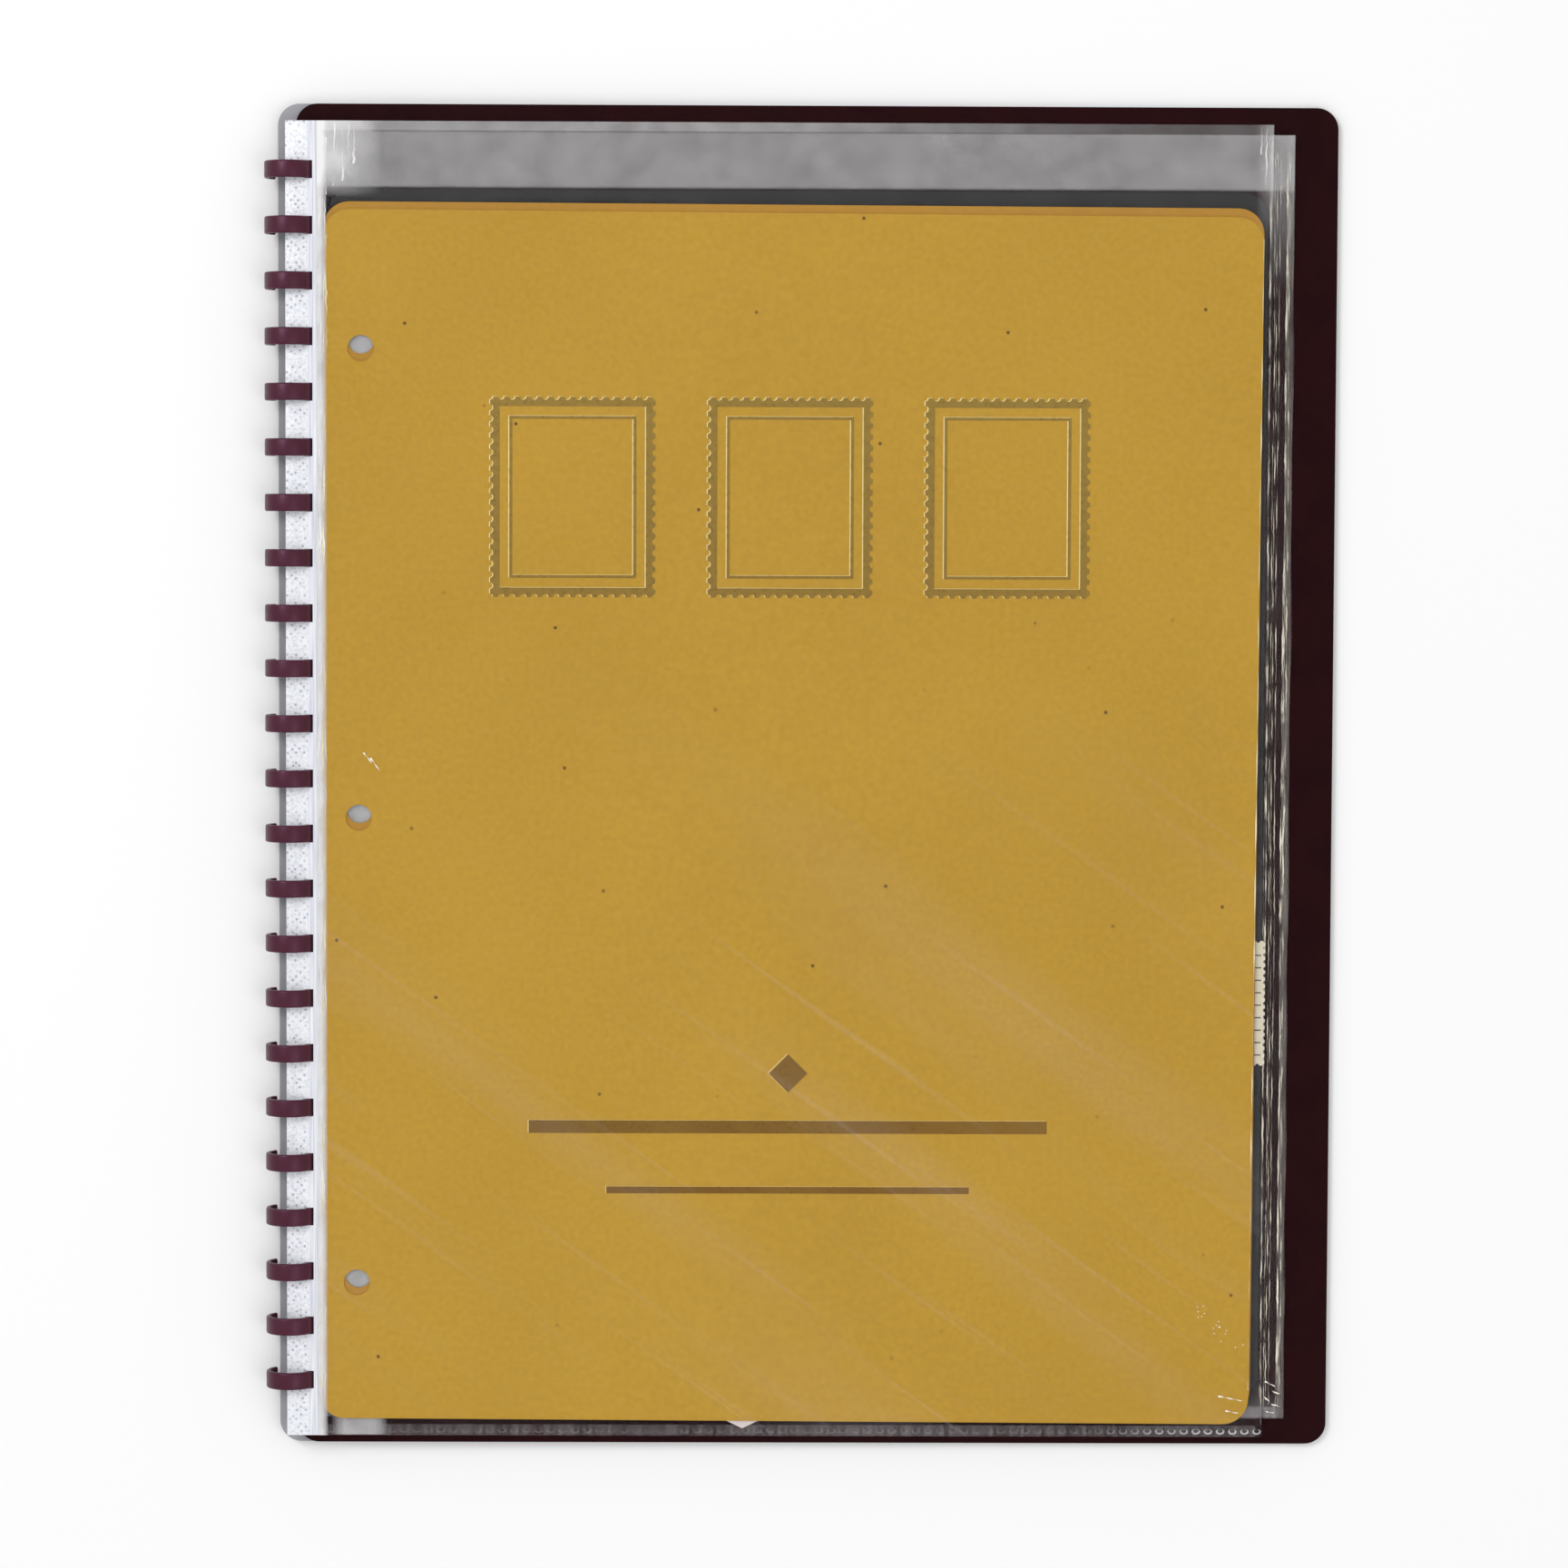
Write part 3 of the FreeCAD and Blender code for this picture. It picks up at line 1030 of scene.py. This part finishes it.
@dataclass
class TitleBindingStrip:
    """White binding strip of the title leaf, slotted close round the fingers."""

    trim: float = 0.6 * MM
    slot_start: float = 3.7 * MM
    slot_end: float = 5.6 * MM
    slot_half: float = 2.06 * MM

    def build(self) -> None:
        """Cut the slots in one row, and lay the strip along the leaf."""
        node = "leaf_1_binding_strip"
        low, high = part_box(node)
        fall = SLOPE * (high[0] - low[0])
        thick = high[2] - low[2] - fall
        ends = (low[0] + self.trim, low[1], 0), (high[0], high[1], thick)
        strip = named(block(*ends), node + "_slotted")
        finish_with(strip, "BEVEL", width=0.12 * MM, segments=2)
        first = FINGERS_LOW[1] + FINGER_WIDTH / 2
        start = RING_AXIS[0] + self.slot_start
        end = RING_AXIS[0] + self.slot_end
        below, above = -1 * MM, 3 * MM
        cutters = []
        for i in range(FINGERS):
            bottom, top = (first + i * PITCH + half for half in (-self.slot_half, self.slot_half))
            cutters.append(block((start, bottom, below), (end, top, above)))
        cut(strip, joined("slots", cutters))
        raised(strip, upper_face(node, -thick))
        smooth(strip, degrees=30)
        place(paint(strip, STRIP), "leaf_1", node)


@dataclass
class TitleLeafCreaseGlints:
    """Creases and glints in the front film of the title pocket, painted as bright highlights and
    placed in millimetres.
    """

    seed: int = 5
    fold_lines: tuple[Row, ...] = ((0.35, 0.3), (0.8, 0.42), (1.7, 0.22))
    # Painted highlights: bright crease lines in the upper corners, each as x, bottom, top and
    # width.
    corner_lines: tuple[Row, ...] = (
        (-102.6, 141.0, 149.8, 0.5), (-103.9, 138.5, 150.0, 0.3), (-105.4, 137.0, 149.0, 0.4),
        (-107.2, 136.0, 150.2, 0.3), (-109.0, 134.0, 147.0, 0.4),
        (106.6, 137.0, 150.0, 0.4), (105.2, 144.0, 150.2, 0.3),
    )
    card_width: float = 215.9 * MM
    # Painted highlights along the title card's long edges, each as place across the card, width
    # and sway.
    card_lines: tuple[Row, ...] = ((0.6, 0.4, 0.5), (215.8, 0.3, 0.1))
    glints: tuple[Row, ...] = (
        (97.8, -143.1, 103.4, -144.2), (99.6, -146.4, 102.6, -147.0),
        (-100.6, 6.0, -98.6, 3.4), (-99.0, 4.8, -96.8, 1.8),
    )
    spark_ends: Row = (92.6, -121.8, 102.6, -132.4)
    sparks: int = 18
    spark_aside: float = 1.2

    def fold(self) -> Piece:
        """Model the bright fold beside the rings and the bright creases in the upper corners, both
        painted highlights.

        Returns:
            The joined fold lines.
        """
        low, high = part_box("title_card")
        ends = (low[1], high[1] + 3 * MM)
        lines = []
        for i, (gap, width) in enumerate(self.fold_lines):
            x = FILM_LEFT + gap * MM
            lines.append(Crease(x, *ends, width * MM, sway=0.4 * MM, seed=self.seed + i))
        for i, places in enumerate(self.corner_lines):
            form = (value * MM for value in places)
            lines.append(Crease(*form, sway=0.45 * MM, seed=self.seed + 10 + i))
        return joined("leaf_1_fold", [line.model() for line in lines])

    def card_edges(self) -> Piece:
        """Model the bright creases where the film folds over the long edges of the title card,
        painted as highlights.

        Returns:
            The joined creases.
        """
        low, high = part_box("title_card")
        lean = high[0] - low[0] - self.card_width
        ends = (low[1] + 8 * MM, high[1] - 6 * MM)
        lines = []
        for i, (across, width, sway) in enumerate(self.card_lines):
            x = low[0] + across * MM
            line = Crease(x, *ends, width * MM, sway * MM, self.seed + 30 + i, tilt=lean)
            lines.append(line.model())
        return joined("leaf_1_card_creases", lines)

    def spark_row(self) -> list[Piece]:
        """Model the slanting scatter of tiny bright bumps.

        Returns:
            The bumps.
        """
        draw = random.Random(11)
        bump = primitive("ico_sphere", subdivisions=1, radius=0.15 * MM)
        bump.scale = (1, 1, 0.3)
        settle(bump)
        x0, y0, x1, y1 = self.spark_ends
        bumps = []
        for _ in range(self.sparks):
            t = draw.random()
            aside = draw.uniform(-self.spark_aside, self.spark_aside)
            x = x0 + (x1 - x0) * t + aside
            y = y0 + (y1 - y0) * t + aside
            bumps.append(copied(bump, (x * MM, y * MM, 0)))
        bpy.data.objects.remove(bump)
        return bumps

    def build(self) -> None:
        """Place the fold, the card's creases and the glints, all painted highlights, on the title
        leaf.
        """
        height = upper_face("leaf_1_front_film", rise=-0.02 * MM)
        # The fold, the card's edge creases, the glints and the sparks are all painted highlights.
        fold = paint(self.fold(), FOLD_GLINT)
        edges = paint(self.card_edges(), CARD_EDGE_GLINT)
        wrinkles = [wrinkle(ends, 40 + i) for i, ends in enumerate(self.glints)]
        glints = paint(joined("leaf_1_glints", wrinkles + self.spark_row()), GLINT)
        for piece in (fold, edges, glints):
            place(smooth(raised(piece, height), degrees=60), "leaf_1")


@dataclass
class StampMaker:
    """Perforated stamps of one size, with a plain printed panel."""

    width: float = 26.0 * MM
    tall: float = 33.0 * MM
    thick: float = 0.1 * MM
    tooth: float = 1.6 * MM
    hole: float = 0.45 * MM
    margin: float = 2.6 * MM
    field: float = 7.0 * MM

    def perforator(self, width: float, tall: float) -> Piece:
        """Set round cutters along the four edges of a rectangle that starts at the origin.

        Args:
            width: Width of the rectangle.
            tall: Its height.

        Returns:
            The joined cutters.
        """
        pin = prism(10, self.hole, 4 * self.thick + 1 * MM)
        across = max(round(width / self.tooth), 1)
        along = max(round(tall / self.tooth), 1)
        places = {(width * i / across, y) for i in range(across + 1) for y in (0, tall)}
        places |= {(x, tall * i / along) for i in range(along + 1) for x in (0, width)}
        pins = [copied(pin, (x, y, 0)) for x, y in sorted(places)]
        bpy.data.objects.remove(pin)
        return joined("pins", pins)

    def plate(self, width: float, tall: float) -> Piece:
        """A perforated slip of paper with its lower left corner at the origin."""
        paper = block((0, 0, 0), (width, tall, self.thick))
        return cut(paper, self.perforator(width, tall))

    def printed(self, low: Spot, high: Spot, layer: int = 0) -> Piece:
        """A thin block of ink on the paper, in a layer that starts at 0."""
        bottom = self.thick + layer * SKIN
        return block((*low, bottom), (*high, bottom + SKIN))

    def stamp(self, number: int) -> Piece:
        """Model a stamp with a plain coloured panel and a round or square field.

        Args:
            number: Chooses the print colour and the field.

        Returns:
            The stamp.
        """
        m = self.margin
        paper = paint(self.plate(self.width, self.tall), STAMP_PAPER)
        panel = self.printed((m, m), (self.width - m, self.tall - m))
        middle = (self.width / 2, self.tall * 0.55, self.thick + 1.5 * SKIN)
        disc = prism(40 if number % 2 else 4, self.field, SKIN, middle)
        bar = self.printed((2 * m, 1.6 * m), (self.width - 2 * m, 2.4 * m), layer=1)
        paint(panel, PRINTS[number % len(PRINTS)])
        for piece in (disc, bar):
            paint(piece, STAMP_PAPER)
        return joined("stamp", [paper, panel, disc, bar])


@dataclass
class StockCards:
    """Charcoal cards with clear strips and rows of stamps."""

    numbers: tuple[int, ...] = (2, 3, 4)
    strip_pitch: float = 44.0 * MM
    stamp_pitch: float = 34.0 * MM
    rows: int = 5
    row_counts: tuple[int, ...] = (5, 6, 4, 6)

    def stamps(self, number: int, models: Sequence[Piece]) -> None:
        """Set the stamps of one card behind its strips.

        Args:
            number: Number of the card's leaf.
            models: One stamp of each kind.
        """
        node = f"stamps_{number}"
        low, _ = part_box(node)
        pieces = []
        for row in range(self.rows):
            for column in range(self.row_counts[(row + number) % len(self.row_counts)]):
                model = models[(3 * row + 5 * column + number) % len(models)]
                spot = (low[0] + column * self.stamp_pitch, low[1] + row * self.strip_pitch)
                pieces.append(copied(model, (*spot, 0)))
        sheet = joined(node + "_printed", pieces)
        raised(sheet, upper_face(f"stock_card_{number}", CLEAR_OF_FACE))
        place(sheet, f"stock_card_{number}", node)

    def build(self) -> None:
        """Dress the cards and strips, and set the stamps."""
        maker = StampMaker()
        models = [maker.stamp(i) for i in range(len(PRINTS))]
        for number in self.numbers:
            dress(f"stock_card_{number}", CHARCOAL)
            dress(f"stock_strips_{number}", STRIP_FILM)
            self.stamps(number, models)
        for model in models:
            bpy.data.objects.remove(model)


@dataclass
class StampBlock:
    """Block of stamps whose marked margin shows past the title card."""

    columns: int = 2
    gap: float = 2.0 * MM
    margin: float = 6.0 * MM
    ticks: int = 9
    tick_height: float = 0.28 * MM
    tick_inset: Spot = (1.5 * MM, 0.9 * MM)
    tick_shift: float = 0.8

    def build(self) -> None:
        """Model the block with its perforations, panels and margin ticks."""
        node = "stamp_block"
        low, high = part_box(node)
        maker = StampMaker()
        width = high[0] - low[0]
        tall = high[1] - low[1]
        pieces = [paint(maker.plate(width, tall), STAMP_PAPER)]
        cell = (width - self.margin) / self.columns
        for column in range(self.columns):
            start = column * cell + self.gap
            end = start + cell - 2 * self.gap
            panel = maker.printed((start, self.gap), (end, tall - self.gap))
            pieces.append(paint(panel, PRINTS[column]))
        left = width - self.margin + self.tick_inset[0]
        right = width - self.tick_inset[1]
        for i in range(self.ticks):
            y = tall * (i + self.tick_shift) / (self.ticks + 1)
            tick = maker.printed((left, y), (right, y + self.tick_height))
            pieces.append(paint(tick, INK))
        sheet = joined(node + "_sheet", pieces)
        sheet.location = (low[0], low[1], 0)
        settle(sheet)
        raised(sheet, upper_face(node, -maker.thick))
        place(sheet, node, node)


@dataclass
class TitleFoil:
    """Foil ornament on the title card."""

    frames: int = 3
    frame_width: float = 38.0 * MM
    frame_height: float = 46.0 * MM
    frame_gap: float = 12.0 * MM
    frame_bottom: float = 42.0 * MM
    frame_line: float = 2.2 * MM
    inner_line: float = 0.7 * MM
    rules: tuple[Row, ...] = ((-82.0, 120.0, 3.0), (-96.0, 84.0, 1.6))
    diamond: float = 4.5 * MM
    diamond_place: float = -68.0 * MM
    rim_shift: Point = (-0.26 * MM, 0.1 * MM, -0.003 * MM)

    def inset(self, edge: float, bottom: float, top: float) -> Piece:
        """A block inside the outline, a given way in from its edges."""
        far = (self.frame_width - edge, self.frame_height - edge, top)
        return block((edge, edge, bottom), far)

    def perforated_frame(self) -> Piece:
        """Model a blank stamp's outline, open inside, with its lower left corner at the origin.

        Returns:
            The outline.
        """
        maker = StampMaker(tooth=2.6 * MM, hole=0.75 * MM)
        line = self.frame_line
        reach = 1 * MM
        outline = self.inset(0, 0, SKIN)
        cut(outline, maker.perforator(self.frame_width, self.frame_height))
        cut(outline, self.inset(line, -reach, reach))
        inner = self.inset(2 * line, 0, SKIN)
        cut(inner, self.inset(2 * line + self.inner_line, -reach, reach))
        return joined("outline", [outline, inner])

    def build(self) -> None:
        """Stamp a row of blank outlines, a diamond and two rules in foil."""
        low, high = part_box("title_card")
        middle = (low[0] + high[0]) / 2
        model = self.perforated_frame()
        step = self.frame_width + self.frame_gap
        pieces = []
        for i in range(self.frames):
            x = middle + (i - self.frames // 2) * step - self.frame_width / 2
            pieces.append(copied(model, (x, self.frame_bottom, 0)))
        bpy.data.objects.remove(model)
        for y, length, tall in self.rules:
            half = length * MM / 2
            ends = (middle - half, y * MM, 0), (middle + half, (y + tall) * MM, SKIN)
            pieces.append(block(*ends))
        pieces.append(prism(4, self.diamond, SKIN, (middle, self.diamond_place, SKIN / 2)))
        foil = joined("title_card_foil", pieces)
        # The rim is a painted highlight: a lighter copy of the foil, shifted left and up and set
        # just below it.
        rim = named(copied(foil, self.rim_shift), "title_card_foil_rim")
        for piece, finish in ((foil, FOIL), (rim, FOIL_RIM_HIGHLIGHT)):
            raised(piece, upper_face("title_card", CLEAR_OF_FACE))
            place(paint(piece, finish), "title_card")


@dataclass
class Studio:
    """Pale floor, soft light and the camera at the photograph's angle."""

    sensor: float = 36.0
    lens: float = 36.0 * 5294.0 / 1728.0
    place: Point = (-0.0042, 0.0597, 1.1132)
    turn: Point = (-0.0547, -0.0003, 0.0039)
    floor_colour: Colour = (0.94, 0.94, 0.945)
    sky: float = 0.72

    def floor(self) -> None:
        """Add the floor that the album lies on."""
        floor = primitive("plane", size=6, location=(0, 0, -0.3 * MM))
        floor.name = "floor"
        pale = {"Base_Color": self.floor_colour, "Roughness": 0.9}
        floor.data.materials.append(Shader("pale_floor", lambda s: s.set(**pale)).material)

    def lamp(self, name: str, place: Point, size: float, power: float) -> None:
        """Add a soft lamp that looks at the album.

        Args:
            name: Name of the lamp.
            place: Its place in metres.
            size: Its side in metres.
            power: Its power in watts.
        """
        bpy.ops.object.light_add(type="AREA", location=place)
        lamp = bpy.context.object
        lamp.name = name
        lamp.data.energy = power
        lamp.data.size = size
        reach = math.hypot(place[0], place[1])
        lamp.rotation_euler = (0, math.atan2(reach, place[2]), math.atan2(place[1], place[0]))

    def camera(self) -> None:
        """Add the camera where the photograph was taken from."""
        data = bpy.data.cameras.new("camera")
        camera = bpy.data.objects.new("camera", data)
        bpy.context.collection.objects.link(camera)
        data.sensor_width = self.sensor
        data.lens = self.lens
        camera.location = self.place
        camera.rotation_euler = self.turn
        bpy.context.scene.camera = camera

    def build(self) -> None:
        """Light the scene and add the camera."""
        scene = bpy.context.scene
        scene.view_settings.view_transform = "Standard"
        scene.cycles.transparent_max_bounces = 40
        scene.world = bpy.data.worlds.new("studio")
        scene.world.use_nodes = True
        sky = scene.world.node_tree.nodes["Background"]
        sky.inputs["Color"].default_value = (1, 1, 1, 1)
        sky.inputs["Strength"].default_value = self.sky
        self.floor()
        self.lamp("key", (-0.9, 0.7, 1.5), size=0.7, power=11)
        self.lamp("fill", (0.8, -0.5, 1.6), size=1.0, power=4)
        self.camera()


CORNER_WRINKLES = (
    (108.9, -139.8, 111.2, -141.0), (110.6, -142.2, 112.3, -142.9),
    (108.8, -143.6, 110.0, -144.6), (110.4, -145.2, 112.4, -145.7),
    (109.2, -147.0, 111.0, -147.3),
)
LEAVES = (
    PocketLeaf(1, (0.15,), TOP_FILM, REAR_FILM, dots=True, weld=CLEAR_WELD),
    PocketLeaf(2, (1.5, 4.3), wrinkles=CORNER_WRINKLES),
    PocketLeaf(3, (1.2, 3.0)),
    PocketLeaf(4, (0.6, 3.6, 5.1)),
)


def main() -> None:
    """Build the album from the comb outwards and set it in the studio."""
    logging.basicConfig(level=logging.INFO, format="%(message)s")
    album = [CombBinding(), PlainPieces(), *LEAVES, TitleBindingStrip(), TitleLeafCreaseGlints()]
    contents = [StockCards(), StampBlock(), TitleFoil()]
    for assembly in (*album, *contents, Studio()):
        assembly.build()


if __name__ == "__main__":
    main()
